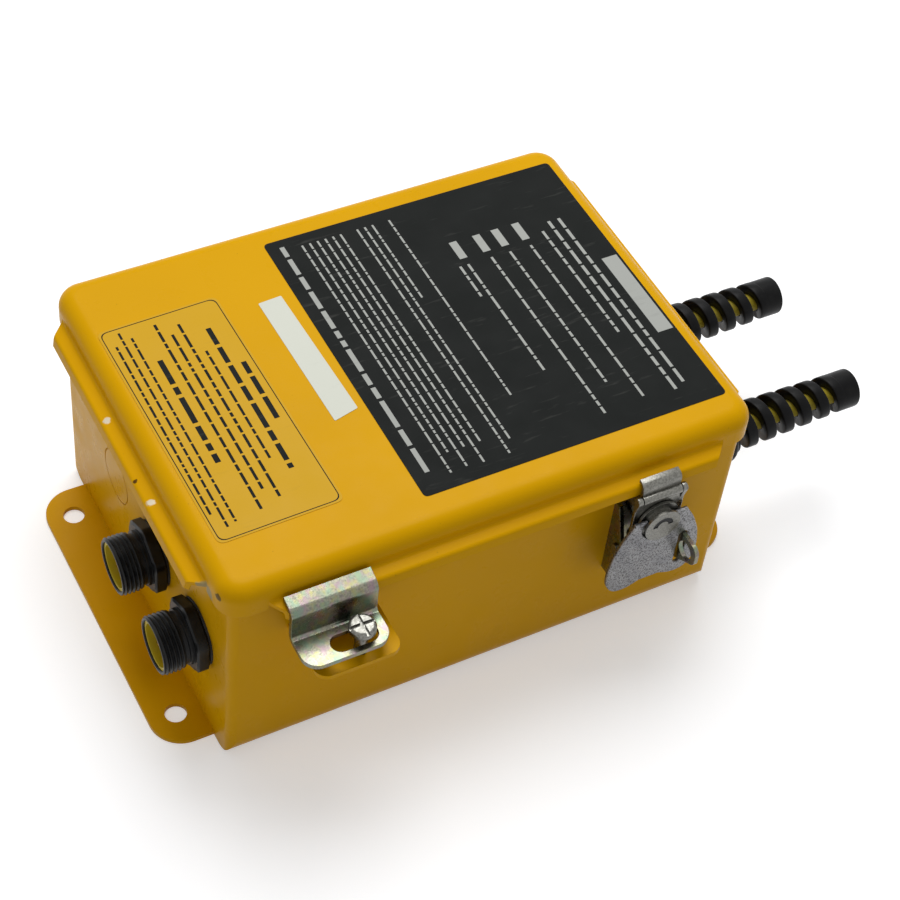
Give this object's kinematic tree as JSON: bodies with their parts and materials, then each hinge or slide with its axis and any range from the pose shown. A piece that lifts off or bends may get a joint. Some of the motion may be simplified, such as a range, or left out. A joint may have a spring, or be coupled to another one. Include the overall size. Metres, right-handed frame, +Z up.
{
  "type": "safety light curtain controller",
  "caption": "Sheet steel wall box with hinged lid, clamp, padlockable draw latch, threaded receptacles and spiral cable grips.",
  "frame": {"origin": "centre of the four mounting holes, on the back plane", "axes": "+X along the long sides towards the cable grips, +Y away from the latch side, +Z up through the lid"},
  "size_m": [0.3002, 0.1859, 0.1003],
  "materials": {
    "yellow_paint": "gloss enamel over steel sheet",
    "yellow_chromate": "zinc plate with a yellow passivate",
    "zinc_plate": "zinc plate",
    "cast_zinc": "tumbled zinc casting",
    "gasket_foam": "closed cell foam",
    "seal_rubber": "matte",
    "black_anodised": "black anodised, satin",
    "yellow_moulding": "moulded",
    "gold_pins": "gold plate",
    "black_nylon": "moulded nylon, satin",
    "cable_jacket": "extruded jacket",
    "board_laminate": "glass laminate with green mask",
    "relay_case": "moulded case",
    "fuse_glass": "clear tube",
    "tin_plate": "tin plate",
    "core_steel": "varnished laminations",
    "coil_wrap": "wrapped film",
    "terminal_moulding": "moulded"
  },
  "bodies": {
    "enclosure": {"board_screws": "zinc_plate", "board_standoffs": "zinc_plate", "cable_stub_1": "cable_jacket", "cable_stub_2": "cable_jacket", "circuit_board": "board_laminate", "clamp_ear": "yellow_paint", "enclosure_body": "yellow_paint", "fuse_clips": "tin_plate", "fuses": "fuse_glass", "grip_fitting_1": "black_nylon", "grip_fitting_2": "black_nylon", "grip_locknut_1": "black_nylon", "grip_locknut_2": "black_nylon", "grip_seal_1": "seal_rubber", "grip_seal_2": "seal_rubber", "grip_spiral_1": "black_nylon", "grip_spiral_2": "black_nylon", "ground_nut": "zinc_plate", "ground_stud": "zinc_plate", "hinge_body_leaf": "yellow_paint", "hinge_pin": "zinc_plate", "latch_axle": "zinc_plate", "latch_base": "yellow_chromate", "latch_pin": "zinc_plate", "latch_rivets": "zinc_plate", "panel_nuts": "zinc_plate", "panel_studs": "zinc_plate", "receptacle_insert_1": "yellow_moulding", "receptacle_insert_2": "yellow_moulding", "receptacle_locknut_1": "zinc_plate", "receptacle_locknut_2": "zinc_plate", "receptacle_pins_1": "gold_pins", "receptacle_pins_2": "gold_pins", "receptacle_seal_1": "seal_rubber", "receptacle_seal_2": "seal_rubber", "receptacle_shell_1": "black_anodised", "receptacle_shell_2": "black_anodised", "relay_1": "relay_case", "relay_2": "relay_case", "sub_panel": "zinc_plate", "terminal_block": "terminal_moulding", "terminal_screws": "zinc_plate", "transformer_coil": "coil_wrap", "transformer_core": "core_steel"},
    "lid": {"lid_shell": "yellow_paint", "lid_gasket": "gasket_foam", "hinge_lid_leaf": "yellow_paint"},
    "clamp": {"clamp_plate": "yellow_chromate"},
    "clamp_screw": {"clamp_screw": "zinc_plate"},
    "drum": {"latch_drum": "zinc_plate"},
    "strap": {"latch_strap": "zinc_plate", "hook_pin": "zinc_plate"},
    "hook": {"latch_hook": "zinc_plate"},
    "wing": {"latch_wing": "cast_zinc"}
  },
  "joints": [
    {"name": "lid_hinge", "type": "hinge", "parent": "enclosure", "child": "lid", "pos_m": [0, 0.0819, 0.0845], "axis": [-1, 0, 0], "range_deg": [0, 180]},
    {"name": "clamp_slide", "type": "slide", "parent": "enclosure", "child": "clamp", "axis": [1, 0, 0], "range_m": [-0.0035, 0.0085]},
    {"name": "clamp_screw_travel", "type": "slide", "parent": "enclosure", "child": "clamp_screw", "axis": [0, 0, -1], "range_m": [0, 0.0034]},
    {"name": "latch_turn", "type": "hinge", "parent": "enclosure", "child": "drum", "pos_m": [0.06, -0.0852, 0.0726], "axis": [0, -1, 0], "range_deg": [0, 180]},
    {"name": "strap_lift", "type": "slide", "parent": "enclosure", "child": "strap", "axis": [0, 0, 1], "range_m": [0, 0.004]},
    {"name": "hook_swing", "type": "hinge", "parent": "strap", "child": "hook", "pos_m": [0.06, -0.0876, 0.0852], "axis": [1, 0, 0], "range_deg": [0, 90]},
    {"name": "wing_fold", "type": "hinge", "parent": "enclosure", "child": "wing", "pos_m": [0.06, -0.0903, 0.0752], "axis": [-1, 0, 0], "range_deg": [0, 90]}
  ],
  "couplings": [
    {"joint": "strap_lift", "follows": "latch_turn", "m_per_rad": 0.0012732}
  ]
}
